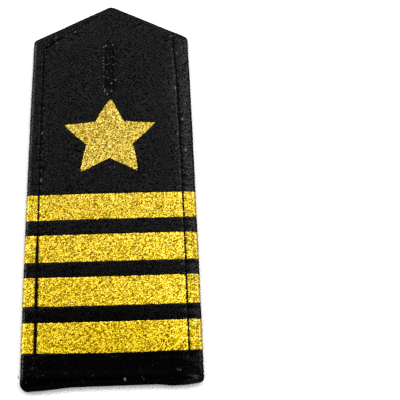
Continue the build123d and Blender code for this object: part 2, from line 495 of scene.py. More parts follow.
def soft_noise(x, y, cell, seed):
    """Smooth random relief between -1 and 1, with features about one cell wide."""
    lattice = np.random.default_rng(seed).uniform(-1.0, 1.0, (NOISE_SIZE, NOISE_SIZE))
    gx, gy = x / cell + NOISE_START[0], y / cell + NOISE_START[1]
    ix, iy = np.floor(gx).astype(int), np.floor(gy).astype(int)
    fx, fy = smooth(gx - ix), smooth(gy - iy)
    ix, iy = ix % NOISE_SIZE, iy % NOISE_SIZE
    jx, jy = (ix + 1) % NOISE_SIZE, (iy + 1) % NOISE_SIZE
    low = mix(lattice[ix, iy], lattice[jx, iy], fx)
    return mix(low, mix(lattice[ix, jy], lattice[jx, jy], fx), fy)


def swells(x, y, rows):
    """Several sizes of soft noise together, each row a height, a cell and a seed."""
    return sum(height * soft_noise(x, y, cell, seed) for height, cell, seed in rows)


def make_object(name, verts, faces, material):
    """A smoothly shaded mesh object from millimetre vertices."""
    mesh = bpy.data.meshes.new(name)
    mesh.from_pydata(np.asarray(verts) * MM, [], faces)
    mesh.polygons.foreach_set("use_smooth", [True] * len(mesh.polygons))
    mesh.materials.append(material)
    mesh.update()
    piece = bpy.data.objects.new(name, mesh)
    bpy.context.scene.collection.objects.link(piece)
    return piece


def add_attribute(piece, name, values):
    """A number for each vertex, for the materials."""
    layer = piece.data.attributes.new(name, "FLOAT", "POINT")
    layer.data.foreach_set("value", np.asarray(values, dtype=np.float32))


# The board's outline and the seam seen from above


def rounded(corners, radii):
    """Points and outward normals of a closed line with rounded corners, and each corner's middle."""
    points, normals, middles = [], [], []
    for k, here in enumerate(corners):
        to_before = unit(corners[k - 1] - here)
        to_after = unit(corners[(k + 1) % len(corners)] - here)
        half_angle = math.acos(np.clip(to_before @ to_after, -1, 1)) / 2
        centre = here + unit(to_before + to_after) * radii[k] / math.sin(half_angle)
        start = here + to_before * radii[k] / math.tan(half_angle)
        end = here + to_after * radii[k] / math.tan(half_angle)
        convex = to_after[1] * -to_before[0] - to_after[0] * -to_before[1] > 0
        middles.append(len(points) + CORNER_STEPS // 2)
        for t in np.linspace(0, 1, CORNER_STEPS + 1):
            spoke = unit(mix(start - centre, end - centre, t))
            points.append(centre + spoke * radii[k])
            normals.append(spoke if convex else -spoke)
    return np.array(points), np.array(normals), middles


def lengths_along(points):
    """Length of a line of points up to each of them."""
    return np.concatenate([[0.0], np.cumsum(np.linalg.norm(np.diff(points, axis=0), axis=1))])


def between(places, at, points):
    """Points between those given, by places along their line."""
    return np.stack([np.interp(places, at, points[:, k]) for k in (0, 1)], -1)


class ClosedLine:
    """A closed line with rounded corners, by its arc length."""

    def __init__(self, corners, radii):
        points, normals, middles = rounded(corners, radii)
        self.points, self.normals = np.vstack([points, points[:1]]), np.vstack([normals, normals[:1]])
        self.at = lengths_along(self.points)
        self.length = self.at[-1]
        self.corners = self.at[middles]

    def sample(self, lengths):
        """Points and outward normals at these arc lengths."""
        lengths = np.mod(lengths, self.length)
        return between(lengths, self.at, self.points), unit(between(lengths, self.at, self.normals))


def board_outline():
    """The board's outline, counterclockwise from the lower left corner."""
    low = [(across * half_width, lower_end - sag * HEM_SAG) for across, sag in HEM_WAVE]
    corners = np.array(low + [(half_width, shoulder_y), (0.0, peak_y), (-half_width, shoulder_y)])
    radii = [LOWER_LEFT_RADIUS] + [HEM_WAVE_RADIUS] * (len(low) - 2) + [LOWER_RIGHT_RADIUS]
    return ClosedLine(corners, radii + [SHOULDER_RADIUS, PEAK_RADIUS, SHOULDER_RADIUS])


def seam_corners():
    """Corners of the line of topstitching."""
    corners = []
    for across, inset, end in SEAM_CORNERS:
        x = across * (half_width - SEAM_MARGIN)
        roof_edge = peak_y - ROOF_HEIGHT * abs(x) / half_width
        y = lower_end + inset * SEAM_MARGIN if end == "hem" else roof_edge - inset * SEAM_MARGIN
        corners.append((x, y))
    return np.array(corners)


OUTLINE = board_outline()
SEAM_POLYGON = seam_corners()
SEAM = ClosedLine(SEAM_POLYGON, [SEAM_CORNER_RADIUS] * len(SEAM_POLYGON))
STITCH_COUNT = round(SEAM.length / STITCH_PITCH)


def seam_bow(x, y):
    """How far the side seams lie off their straight lines."""
    low_y, high_y = SEAM_POLYGON[0, 1], SEAM_POLYGON[-1, 1]
    share = np.clip((y - low_y) / (high_y - low_y), 0.0, 1.0)
    right = rise(x, -half_width / 2, half_width)
    return mix(*SEAM_BOWS, right) * np.sin(math.pi * share)


def seam_line(lengths):
    """Points of the real seam and its outward normals at these arc lengths."""
    points, normals = SEAM.sample(lengths)
    points = points + np.stack([seam_bow(*points.T), np.zeros(len(points))], -1)
    return points + normals * swells(lengths, 0 * lengths, SEAM_WANDER)[:, None], normals


def inside_seam(x, y):
    """Signed distance to the seam, positive on the padded field."""
    x = x - seam_bow(x, y)
    distance = np.full(np.shape(x), FAR_INSIDE)
    for start, end in zip(SEAM_POLYGON, np.roll(SEAM_POLYGON, -1, axis=0)):
        along = unit(end - start)
        side = along[0] * (y - start[1]) - along[1] * (x - start[0])
        overlap = np.maximum(CORNER_SOFT - np.abs(distance - side), 0.0) / CORNER_SOFT
        distance = np.minimum(distance, side) - overlap * overlap * CORNER_SOFT / 4
    return distance


def inside_edge(x, y):
    """Distance from the board's straight edges, positive inside."""
    slope = math.atan2(ROOF_HEIGHT, half_width)
    roof = (peak_y - ROOF_HEIGHT * np.abs(x) / half_width - y) * math.cos(slope)
    return np.minimum(np.minimum(half_width - np.abs(x), roof), y - lower_end)


# Closed grids of points


def graded(length):
    """Fractions along a side of the mesh, with fine cells towards both of its ends."""
    s = np.linspace(0.0, length, GRADING_STEPS)
    near = np.minimum(s, length - s)
    cell = FINE_CELL + (COARSE_CELL - FINE_CELL) * rise(near, *FINE_END)
    count = np.concatenate([[0.0], np.cumsum((1 / cell[1:] + 1 / cell[:-1]) / 2 * np.diff(s))])
    cells = int(round(count[-1] / 2)) * 2
    return np.interp(np.linspace(0.0, count[-1], cells + 1), count, s) / length


def outline_ring(across, along):
    """Round the outline in the order hem, right side, roof, left side, for graded fractions."""
    roof = len(HEM_WAVE)
    stops = [OUTLINE.corners[k] for k in (0, roof - 1, roof, roof + 2)]
    stops.append(OUTLINE.length + stops[0])
    shares = (across, along, across, along)
    spans = [low + (high - low) * share[:-1] for low, high, share in zip(stops, stops[1:], shares)]
    return OUTLINE.sample(np.concatenate(spans))


def filled_patch(loop, across, along):
    """Points inside a closed ring of points, row by row from the hem."""
    nu, nv = len(across) - 1, len(along) - 1
    loop = np.vstack([loop, loop[:1]])
    hem = loop[: nu + 1]
    right = loop[nu: nu + nv + 1]
    roof = loop[nu + nv: 2 * nu + nv + 1][::-1]
    left = loop[2 * nu + nv:][::-1]
    u, v = np.meshgrid(across, along)
    u, v = u[..., None], v[..., None]
    ruled = (1 - v) * hem[None] + v * roof[None] + (1 - u) * left[:, None] + u * right[:, None]
    corners = (1 - u) * (1 - v) * hem[0] + u * (1 - v) * hem[-1] + (1 - u) * v * roof[0] + u * v * roof[-1]
    return (ruled - corners).reshape(-1, 2)


def grid_faces(rows, columns, first=0, flip=False):
    """Quads of a grid of points, and the ring of its border, counterclockwise."""
    grid = first + np.arange(rows * columns).reshape(rows, columns)
    quads = np.stack([grid[:-1, :-1], grid[:-1, 1:], grid[1:, 1:], grid[1:, :-1]], -1).reshape(-1, 4)
    ring = np.concatenate([grid[0, :-1], grid[:-1, -1], grid[-1, :0:-1], grid[:0:-1, 0]])
    return (quads[:, ::-1] if flip else quads), ring


def band(lower, upper):
    """Quads between closed rings of points."""
    return np.stack([lower, np.roll(lower, -1, -1), np.roll(upper, -1, -1), upper], -1).reshape(-1, 4)


def joined_rings(fine, coarse):
    """Triangles between a ring of points and one with fewer points under it."""
    ratio = len(fine) // len(coarse)
    after_fine, after_coarse = np.roll(fine, -1), np.roll(coarse, -1)
    triangles = []
    for step in range(ratio):
        owner = coarse if step < ratio // 2 else after_coarse
        triangles.append(np.stack([fine[step::ratio], owner, after_fine[step::ratio]], -1))
    middle = fine[ratio // 2:: ratio]
    triangles.append(np.stack([middle, coarse, after_coarse], -1))
    return np.concatenate(triangles)


def as_lists(*blocks):
    """Arrays of faces as one list."""
    return [face for block in blocks for face in block.tolist()]


def closed_faces(front, back):
    """Faces of a thin closed piece, from its front's and its back's faces and border rings."""
    return as_lists(front[0], back[0], joined_rings(front[1], back[1]))


# The board's surface


def right_half(x):
    """1 well out on the right half, 0 on the left."""
    return rise(x, half_width / 2, SIDE_HALF)


def seam_strength(x, y):
    """How strongly the seam shows: fully at the sides, less and less over the roof, not at the hem."""
    roof = rise(y - shoulder_y, *FAINT_ROOF) * fall(x - half_width, *FAINT_RIGHT)
    roof = roof * sum(share * rise(x, start, width) for share, start, width in FAINT_ACROSS)
    hem = fall(y - lower_end, *HEM_PLAIN) * fall(np.abs(x) - half_width, *HEM_PLAIN_SIDES)
    return (1 - (1 - SEAM_FAINT) * roof) * (1 - hem)


def stitch_dimples(x, y):
    """How deep the stitches pull the cloth in, at and beside each needle hole."""
    points, normals = seam_line(np.arange(STITCH_COUNT) * SEAM.length / STITCH_COUNT)
    shares = np.random.default_rng(SEEDS["needle_holes"]).uniform(*DIMPLE_SPREAD, len(points))
    pulled = np.zeros(np.shape(x))
    near = np.abs(inside_seam(x, y)) < DIMPLE_REACH
    px, py = x[near], y[near]
    total = np.zeros(len(px))
    for (hx, hy), (nx, ny), share in zip(points, normals, shares):
        across = (px - hx) * nx + (py - hy) * ny
        along = (px - hx) * ny - (py - hy) * nx
        for depth, length, width in DIMPLES:
            total += share * depth * bell(along, length) * bell(across, width)
    pulled[near] = total * seam_strength(px, py)
    return pulled


def margin_wrinkles(x, y):
    """Fine wrinkles across the sewn margins, strongest along the right side."""
    side = np.abs(x) > half_width - WRINKLE_SIDE * SEAM_MARGIN
    lines = np.where(side, y, x) * WRINKLE_STRETCH[1]
    depth = np.where(side, x, y) * WRINKLE_STRETCH[0]
    strongest = bell(y - star_centre[1], WRINKLE_REACH, WRINKLE_MIDDLE)
    height = WRINKLE_HEIGHT + RIGHT_WRINKLE_HEIGHT * right_half(x) * strongest
    return height * soft_noise(depth, lines, WRINKLE_CELL, SEEDS["wrinkles"])


def corner_fold(x, y):
    """A small fold that runs into the lower right corner."""
    along = unit(FOLD_END - FOLD_START)
    reach = np.linalg.norm(FOLD_END - FOLD_START)
    dx, dy = x - FOLD_START[0], y - FOLD_START[1]
    share = (dx * along[0] + dy * along[1]) / reach
    ends = rise(share, *FOLD_ENDS[0]) * fall(share, *FOLD_ENDS[1])
    return FOLD_HEIGHT * bell(dx * along[1] - dy * along[0], FOLD_WIDTH) * ends


def margin_share(part, whole):
    """A part of the margin's width as a share of the whole, from 0 to 1."""
    return np.clip(part / np.maximum(whole, LEAST_MARGIN), 0, 1)


def inside_stripes(y):
    """Distance along the board from the nearest cut of a stripe, positive under the gold."""
    inside = np.full(np.shape(y), FAR_OUTSIDE)
    for low_y, high_y in stripe_ranges:
        inside = np.maximum(inside, np.minimum(y - low_y, high_y - y))
    return inside


def margin_fall(x, y, to_edge, to_seam):
    """How far the margins and the lower right corner fall off towards the edge."""
    out = margin_share(-to_seam, to_edge - to_seam)
    under_gold = rise(inside_stripes(y), *GOLD_STIFF_EDGE)
    right = MARGIN_DROOP * (1 - GOLD_STIFFNESS * under_gold) * right_half(x)
    left = np.where(y < shoulder_y + LEFT_DROOP_TOP, right_half(-x), rise(-x, 0.0, ROOF_LEFT_HALF))
    corner = rise(x - half_width, *CORNER_ACROSS) * bell(y - lower_end, *CORNER_ALONG)
    return right * out + LEFT_DROOP * left * out ** 3 + CORNER_DROOP * corner


def board_height(x, y):
    """Height of the board's upper surface inside its rolled edge."""
    to_seam, to_edge = inside_seam(x, y), inside_edge(x, y)
    strength = seam_strength(x, y)
    crown = np.clip(1 - to_seam / CROWN_WIDTH, 0, 1)
    height = RIM_THICKNESS + SEAM_RISE * rise(to_seam, *SEAM_RISE_EDGE)
    height = height + (FIELD_RISE - SEAM_RISE) * (1 - crown ** 2) * (to_seam > 0)
    height = height - CHANNEL_DEPTH * strength * bell(to_seam, CHANNEL_WIDTH)
    flat = to_edge - TOP_ROLL
    swell = 0.5 - 0.5 * np.cos(2 * math.pi * margin_share(flat, flat - to_seam))
    height = height + MARGIN_CROWN * strength * (to_seam < 0) * swell
    height = height - margin_fall(x, y, to_edge, to_seam) - stitch_dimples(x, y)
    height = height + margin_wrinkles(x, y) * fall(to_seam, *WRINKLE_MARGIN)
    return height + swells(x, y, UNEVENNESS) * rise(to_edge, *UNEVEN_EDGE) + corner_fold(x, y)


def edge_place(x, y):
    """How far the rolled edge stands out of its outline, which is mostly a little inwards."""
    roof = rise(y - shoulder_y, *ROOF_EDGE)
    share = np.clip((y - lower_end) / SIDE_LENGTH, 0, 1)
    bow = np.where(x < 0, *EDGE_BOWS) * np.sin(math.pi * share)
    side = (bow - LOWER_LEFT_TAPER * (x < 0) * (1 - share) ** 2) * rise(np.abs(x) - half_width, *SIDE_EDGE)
    shoulder = bell(np.hypot(x - half_width, y - shoulder_y), SHOULDER_REACH)
    roof_place = ROOF_PLACE * (1 + rise(x, *ROOF_RIGHT)) + SHOULDER_LIFT * shoulder
    return mix(side, roof_place, roof) - COVER_INSET + swells(x, y, EDGE_UNEVENNESS)


def in_star(x, y):
    """Signed distance inside the star, roughly, for the cloth that gives way under it."""
    dx, dy = x - star_centre[0], y - star_centre[1]
    half = math.pi / STAR_POINTS
    angle = np.mod(np.arctan2(dx, dy), 2 * half)
    angle = np.minimum(angle, 2 * half - angle)
    px, py = np.hypot(dx, dy) * np.array([np.sin(angle), np.cos(angle)])
    notch = STAR_WAIST * np.array([math.sin(half), math.cos(half)])
    edge = unit(notch - np.array([0.0, star_radius]))
    return -(px * -edge[1] + (py - star_radius) * edge[0])


def gold_bed(x, y):
    """How far the cloth gives way under the stripes and the star."""
    return GOLD_BED * rise(np.maximum(inside_stripes(y), in_star(x, y)), *GOLD_BED_EDGE)


# The cover's finish


def pale_marks(x, y, marks):
    """How much of the pale marks shows at each point, from 0 to 1: lint and fibres, and painted glints on
    the stitches.
    """
    shown = np.zeros(np.shape(x))
    for across, along, half_length, strength in marks:
        past = np.maximum(np.abs(y - lower_end - along) - half_length, 0.0)
        shown = np.maximum(shown, strength * bell(np.hypot(x - across, past), MARK_RADIUS))
    return shown


def margin_painted_sheen(x, y):
    """Painted sheen: sparse pale specks along the right margin's middle, standing in for the light its
    wrinkled cloth catches.
    """
    specks = rise(soft_noise(x, y, SHEEN_SPECK_CELL, SEEDS["sheen_specks"]), *SHEEN_SPECK_RANGE)
    inner_end = half_width - SEAM_MARGIN - SHEEN_SPECK_BORDER
    margin = rise(x, inner_end, SHEEN_SPECK_BORDER) * fall(x, half_width + SHEEN_SPECK_END, SHEEN_SPECK_BORDER)
    middle = np.exp(-((y - star_centre[1] - SHEEN_SPECK_MIDDLE) / WRINKLE_REACH) ** 4)
    return SHEEN_SPECK_STRENGTH * specks * margin * middle


def worn_gloss(x, y):
    """How much glossier than elsewhere the cloth is."""
    right = right_half(x)
    edge = fall(inside_edge(x, y), *EDGE_GLOSS_END)
    margin = fall(inside_seam(x, y), *MARGIN_GLOSS_END) * right
    upper = rise(y - shoulder_y, *UPPER_MARGIN)
    gloss = 1 + (EDGE_GLOSS - 1) * edge * (1 - right * (y < shoulder_y))
    gloss = gloss + (MARGIN_GLOSS - 1) * margin * (1 + UPPER_MARGIN_GLOSS * upper) * (1 - edge)
    corner = bell(x - half_width, *CORNER_GLOSS_ACROSS) * bell(y - lower_end, *CORNER_GLOSS_ALONG)
    hem = fall(y - lower_end, *HEM_DULL_END) * (1 - corner)
    return gloss * (1 - HEM_DULLNESS * hem) + CORNER_GLOSS * corner


def add_cover_finish(cover):
    """The cover's attributes, from where its vertices lie after the slit is cut."""
    places = np.empty(3 * len(cover.data.vertices))
    cover.data.vertices.foreach_get("co", places)
    x, y, z = places.reshape(-1, 3).T / MM
    # pale marks: lint, painted glints at the seams and painted sheen specks on the right margin
    marks = np.maximum(pale_marks(x, y, COVER_LINT_AND_GLINTS), margin_painted_sheen(x, y))
    add_attribute(cover, "lint_and_highlight", np.where(z > ROLL_FOOT, marks, 0.0))
    add_attribute(cover, "gloss", worn_gloss(x, y))


# The cover's mesh


def quarter_round(radius, turns, height):
    """Inset and heights of rings round a rolled quarter, with the heights from each turn's cosine."""
    return [(radius * (1 - np.sin(turn)), height(np.cos(turn))) for turn in turns]


def rolled_levels(rim_z):
    """Inset and heights of each ring round the rolled edge, from the top's border to the underside's."""
    upper, lower = (np.linspace(0, math.pi / 2, n + 1) for n in (TOP_ROLL_STEPS, UNDER_ROLL_STEPS))
    levels = quarter_round(TOP_ROLL, upper[1:], lambda share: ROLL_FOOT + (rim_z - ROLL_FOOT) * share)
    under = quarter_round(UNDER_ROLL, lower[:0:-1], lambda share: UNDER_ROLL * (1 - share) + 0 * rim_z)
    return levels + under


def stadium_prism(length, width, low, high):
    """A plain upright slot shape round the buttonhole's centre, only used for cutting."""
    turn = np.linspace(0, 2 * math.pi, CUTTER_STEPS, endpoint=False)
    x = np.cos(turn) * width / 2
    y = np.sin(turn) * width / 2 + np.where(np.sin(turn) < 0, -1, 1) * (length - width) / 2
    ring = np.column_stack([x, y]) + hole_centre
    verts = np.vstack([np.column_stack([ring, np.full(len(ring), z)]) for z in (low, high)])
    lower, upper = np.arange(2 * CUTTER_STEPS).reshape(2, -1)
    faces = band(lower, upper).tolist() + [lower[::-1].tolist(), upper.tolist()]
    return make_object("cutter", verts, faces, bpy.data.materials["black_cloth"])


def cut_slit(cover):
    """Opens the buttonhole's slit, and the hollow for its thread on the underside."""
    slit = (SLIT_LENGTH + COVER_SLIT_ROOM, SLIT_WIDTH + COVER_SLIT_ROOM, *SLIT_CUT)
    for sizes in (slit, (hole_length, hole_width, *REBATE_CUT)):
        cutter = stadium_prism(*sizes)
        modifier = cover.modifiers.new("slit", "BOOLEAN")
        modifier.operation = "DIFFERENCE"
        modifier.solver = "MANIFOLD"
        modifier.object = cutter
        depsgraph = bpy.context.evaluated_depsgraph_get()
        mesh = bpy.data.meshes.new_from_object(cover.evaluated_get(depsgraph))
        cover.modifiers.clear()
        cover.data = mesh
        bpy.data.objects.remove(cutter)


def board_cover(material):
    """The board's closed cloth cover."""
    across, along = graded(2 * half_width), graded(SIDE_LENGTH)
    edge, normal = outline_ring(across, along)
    edge = edge + normal * (edge_place(*edge.T) - gold_bed(*edge.T))[:, None]
    top = filled_patch(edge - normal * TOP_ROLL, across, along)
    top = np.column_stack([top, board_height(*top.T) - gold_bed(*top.T)])
    quads, loop = grid_faces(len(along), len(across))
    verts, faces, count = [top], [quads], len(top)
    for inset, z in rolled_levels(top[loop, 2]):
        verts.append(np.column_stack([edge - normal * inset, z]))
        ring = np.arange(count, count + len(loop))
        faces.append(np.stack([loop, ring, np.roll(ring, -1), np.roll(loop, -1)], -1))
        loop = ring
        count += len(loop)
    across, along = across[::2], along[::2]
    under = filled_patch((edge - normal * UNDER_ROLL)[::2], across, along)
    verts.append(np.column_stack([under, UNDER_CHANNEL * bell(inside_seam(*under.T), UNDER_CHANNEL_WIDTH)]))
    quads, inner = grid_faces(len(along), len(across), count, flip=True)
    faces += [quads, joined_rings(loop, inner)]
    cover = make_object("board_cover", np.vstack(verts), as_lists(*faces), material)
    cut_slit(cover)
    add_cover_finish(cover)
    return cover


# Gold weave


def woven_floats(u, v, seed):
    """Relief of a crepe weave from 0 to 1, and a random number of the float on top at each point."""
    rng = np.random.default_rng(seed)
    size = FLOAT_LATTICE
    jitter = rng.uniform(-FLOAT_JITTER, FLOAT_JITTER, (2, size, size))
    pick = rng.uniform(0, 1, (size, size))
    spread = rng.normal(0, FLOAT_ANGLE_SPREAD, (size, size))
    angle = np.where(pick < FLOAT_LEFT_SHARE, -FLOAT_ANGLE, FLOAT_ANGLE) + spread
    level, shade = rng.uniform(0, 1, (2, size, size))
    cu = np.floor(u / FLOAT_PITCH_ACROSS).astype(int)
    cv = np.floor(v / FLOAT_PITCH_ALONG).astype(int)
    best = np.full(np.shape(u), -1.0)
    number = np.zeros(np.shape(u))
    for du in FLOAT_NEIGHBOURS:
        for dv in FLOAT_NEIGHBOURS:
            iu, iv = (cu + du) % size, (cv + dv) % size
            x = u - (cu + du + 0.5 + jitter[0, iu, iv]) * FLOAT_PITCH_ACROSS
            y = v - (cv + dv + 0.5 + jitter[1, iu, iv]) * FLOAT_PITCH_ALONG
            c, s = np.cos(angle[iu, iv]), np.sin(angle[iu, iv])
            along = (x * c + y * s) / FLOAT_HALF_LENGTH
            across = (-x * s + y * c) / FLOAT_HALF_WIDTH
            height = 1.0 - along ** 2 - across ** 2 + FLOAT_LEVELS * level[iu, iv]
            above = height > best
            best = np.where(above, height, best)
            number = np.where(above, shade[iu, iv], number)
    return np.clip(best, 0.0, 1.0 + FLOAT_LEVELS) / (1.0 + FLOAT_LEVELS), number


def edge_beads(u, to_edge, seed):
    """Turned yarn ends along a cut of the weave: extra relief in a row of beads."""
    rng = np.random.default_rng(seed)
    phase = u / BEAD_PITCH
    bead = np.floor(phase).astype(int) % FLOAT_LATTICE
    jitter = rng.uniform(-BEAD_JITTER, BEAD_JITTER, FLOAT_LATTICE)[bead]
    strength = rng.uniform(*BEAD_STRENGTHS, FLOAT_LATTICE)[bead]
    along = (phase - np.floor(phase) - 0.5 - jitter) * BEAD_PITCH / BEAD_HALF_LENGTH
    across = (to_edge - BEAD_PLACE) / BEAD_HALF_WIDTH
    return np.clip(strength - along ** 2 - across ** 2, 0, 1)


def serration(lengths, seed):
    """How uneven a cut of the weave is along its length."""
    return EDGE_SERRATION * soft_noise(lengths, lengths * 0, SERRATION_CELL, seed)


def gold_lift(relief, inside):
    """Height of the weave above the cloth, sinking where inside falls from 1 to 0 at a cut."""
    return (GOLD_PROUD + FLOAT_HEIGHT * relief) * (CUT_LIFT + (1 - CUT_LIFT) * smooth(inside))


def woven_piece(name, front, back, faces, material, **attributes):
    """A piece of gold weave; each attribute is the front's values and the back's one value."""
    verts = np.vstack([front.reshape(-1, 3), back.reshape(-1, 3)])
    piece = make_object(name, verts, faces, material)
    for key, (values, behind) in attributes.items():
        add_attribute(piece, key, np.concatenate([values.ravel(), np.full(back.size // 3, behind)]))
    return piece


def skin_point(side_places, y):
    """Points on the board's skin by the developed distance from its middle line."""
    sign, s = np.sign(side_places), np.abs(side_places)
    roll = half_width + edge_place(sign * half_width, y) - TOP_ROLL
    turn = np.clip((s - roll) / TOP_ROLL, 0, math.pi / 2)
    past_roll = s - roll - TOP_ROLL * math.pi / 2
    down = np.clip(past_roll, 0, SIDE_STRAIGHT)
    tuck = np.clip((past_roll - SIDE_STRAIGHT) / UNDER_ROLL, 0, math.pi / 2)
    x = np.minimum(s, roll) + TOP_ROLL * np.sin(turn) - UNDER_ROLL * (1 - np.cos(tuck))
    rim_z = board_height(sign * np.minimum(s, roll), y)
    z = ROLL_FOOT + (rim_z - ROLL_FOOT) * np.cos(turn) - down - UNDER_ROLL * np.sin(tuck)
    return np.stack([sign * x, y, z], -1)


def lifted(points, lift):
    """A grid of points moved out along its own normals."""
    normal = unit(np.cross(np.gradient(points, axis=1), np.gradient(points, axis=0)))
    return points + normal * lift[..., None]


def cell_rows(length):
    """How many rows of points the gold has along a length, so that its coarser back fits."""
    return int(round(length / GOLD_CELL / BACK_RATIO)) * BACK_RATIO + 1


def stripe_cuts(number, s):
    """Places along the board of a stripe's lower and upper cut."""
    row = STRIPES[number - 1]
    bow = row["bow"] * (s / half_width) ** 2
    seeds = (SEEDS["lower_cut"] + number, SEEDS["upper_cut"] + number)
    rows = zip(stripe_ranges[number - 1], row["shifts"], row["tilts"], seeds)
    return [y + shift + bow + tilt * s / half_width + serration(s, seed) for y, shift, tilt, seed in rows]


def gold_stripe(number, material):
    """One stripe of gold weave that follows the board over its seams and round both sides."""
    reach = STRIPE_REACH
    low_y, high_y = stripe_ranges[number - 1]
    columns, rows = cell_rows(2 * reach), cell_rows(high_y - low_y)
    s, t = np.meshgrid(np.linspace(-reach, reach, columns), np.linspace(0, 1, rows))
    lower, upper = stripe_cuts(number, s)
    y = lower + (upper - lower) * t
    start_u, start_v = STRIPE_WEAVE_START
    relief, shade = woven_floats(s + start_u, y + start_v, SEEDS["stripe_floats"] + number)
    for to_edge, seed in ((y - lower, "lower_beads"), (upper - y, "upper_beads")):
        beads = edge_beads(s + start_u, to_edge, SEEDS[seed] + number)
        relief = np.maximum(relief, beads)
        # the beads' tops are painted pale, as a highlight
        shade = np.maximum(shade, smooth(beads * BEAD_HIGHLIGHT))
    border = np.minimum(np.minimum(y - lower, upper - y), reach - np.abs(s))
    skin = skin_point(s, y)
    outer = lifted(skin, gold_lift(relief, border / GOLD_BORDER))
    inner = lifted(skin, np.full(s.shape, -GOLD_DEPTH))[::BACK_RATIO, ::BACK_RATIO]
    back = grid_faces(*inner.shape[:2], rows * columns, flip=True)
    faces = closed_faces(grid_faces(rows, columns), back)
    # painted shade on the flanks over the rolled edges, and over the whole of duller stripes
    flank = rise(np.abs(s) - half_width, -np.where(s > 0, *FLANKS), FLANK_EDGE)
    side = np.maximum(flank, STRIPES[number - 1]["painted_darkening"])
    return woven_piece(f"stripe_{number}_weave", outer, inner, faces, material,
                       shade=(shade, 0.0), relief=(relief, 0.0), side=(side, 1.0))


def star_outline(count):
    """Points round the star, count for each of its edges, with blunt woven tips."""
    corner = np.arange(STAR_EDGES + 1)
    turns = math.pi / 2 + corner * math.pi / STAR_POINTS
    radii = np.where(corner % 2 == 0, star_radius, STAR_WAIST)
    corners = np.column_stack([np.cos(turns), np.sin(turns)]) * radii[:, None]
    t = (np.arange(count) / count)[:, None]
    points = np.vstack([mix(start, end, t) for start, end in zip(corners, corners[1:])])
    radius = np.linalg.norm(points, axis=1, keepdims=True)
    reach = np.clip((radius - STAR_WAIST) / (star_radius - STAR_WAIST), 0, 1) ** 2
    tip = np.round(np.arange(len(points)) / (2 * count)).astype(int) % STAR_POINTS
    points = points + np.array(STAR_TIP_SHIFTS)[tip] * reach
    blunt = STAR_BLUNT * bell(star_radius - radius, STAR_BLUNT_REACH)
    length = np.arange(len(points)) * np.linalg.norm(points[1] - points[0])
    return points * (1 - (blunt + serration(length, SEEDS["star_cut"])[:, None]) / radius)


def fan_points(outline, rings):
    """Points of a filled star shape in rings from its centre, with the outline's own points last."""
    closed = np.vstack([outline, outline[:1]])
    at = np.arange(len(closed)) / (len(outline) // STAR_EDGES)
    points = [np.zeros((1, 2))]
    for ring in range(1, rings + 1):
        points.append(between(np.arange(STAR_EDGES * ring) / ring, at, closed) * ring / rings)
    return np.vstack(points)


def fan_number(ring, place):
    """Number of a point of fan_points: ring 0 is the centre alone, and each ring adds a point an edge."""
    return 1 + STAR_EDGES * ring * (ring - 1) // 2 + place % (STAR_EDGES * ring) if ring else 0


def fan_faces(rings, first=0, flip=False):
    """Triangles between the rings of fan_points, and the outermost ring."""
    faces = []
    for ring in range(1, rings + 1):
        for edge in range(STAR_EDGES):
            for step in range(ring):
                outer, inner = edge * ring + step, edge * (ring - 1) + step
                b, c = fan_number(ring, outer + 1), fan_number(ring - 1, inner)
                faces.append((fan_number(ring, outer), b, c))
                if step < ring - 1:
                    faces.append((b, fan_number(ring - 1, inner + 1), c))
    faces = first + np.array(faces)
    last = first + fan_number(rings, np.arange(STAR_EDGES * rings))
    return (faces[:, ::-1] if flip else faces), last


def gold_star(material):
    """The star of gold weave on the padded field."""
    outline = star_outline(STAR_RINGS)
    flat = fan_points(outline, STAR_RINGS)
    place = flat + star_centre
    relief, shade = woven_floats(*(place + STAR_WEAVE_START).T, SEEDS["star_floats"])
    ring_sizes = [1] + [STAR_EDGES * ring for ring in range(1, STAR_RINGS + 1)]
    rings_left = STAR_RINGS - np.repeat(np.arange(STAR_RINGS + 1), ring_sizes)
    to_edge = np.maximum(in_star(*place.T), rings_left * STAR_RING_STEP)
    length = np.arctan2(flat[:, 1], flat[:, 0]) * np.hypot(flat[:, 0], flat[:, 1]) * STAR_BEAD_STRETCH
    relief = np.maximum(relief, edge_beads(length + STAR_WEAVE_START[0], to_edge, SEEDS["star_beads"]))
    top = board_height(*place.T) + gold_lift(relief, rings_left / STAR_BORDER_RINGS)
    back_rings = STAR_RINGS // BACK_RATIO
    back = fan_points(outline[::BACK_RATIO], back_rings) + star_centre
    back = np.column_stack([back, board_height(*back.T) - GOLD_DEPTH])
    faces = closed_faces(fan_faces(STAR_RINGS), fan_faces(back_rings, len(place), flip=True))
    return woven_piece("star_weave", np.column_stack([place, top]), back, faces, material,
                       shade=(shade, 0.0), relief=(relief, 0.0))


# Thread


def joined(parts):
    """Verts and faces of several meshes as one mesh's."""
    verts, faces, count = [], [], 0
    for own_verts, own_faces in parts:
        verts.append(own_verts)
        faces += [tuple(count + index for index in face) for face in own_faces]
        count += len(own_verts)
    return np.vstack(verts), faces


def tube(middle, tangent, side, up, radius, sides):
    """Verts and faces of one ply along a line of points, with closed pointed ends."""
    around = 2 * math.pi * np.arange(sides) / sides
    ring = np.cos(around)[None, :, None] * side[:, None] + np.sin(around)[None, :, None] * up[:, None]
    walls = middle[:, None] + ring * radius[:, None, None]
    start = middle[0] - tangent[0] * radius[0] * THREAD_TIP
    end = middle[-1] + tangent[-1] * radius[-1] * THREAD_TIP
    tip = len(middle) * sides
    grid = np.arange(tip).reshape(-1, sides)
    first, last = grid[0], grid[-1]
    faces = band(grid[:-1], grid[1:])[:, ::-1].tolist()
    faces += [(tip, b, a) for a, b in zip(first, np.roll(first, -1))][::-1]
    faces += [(tip + 1, a, b) for a, b in zip(last, np.roll(last, -1))]
    return np.vstack([walls.reshape(-1, 3), start, end]), faces


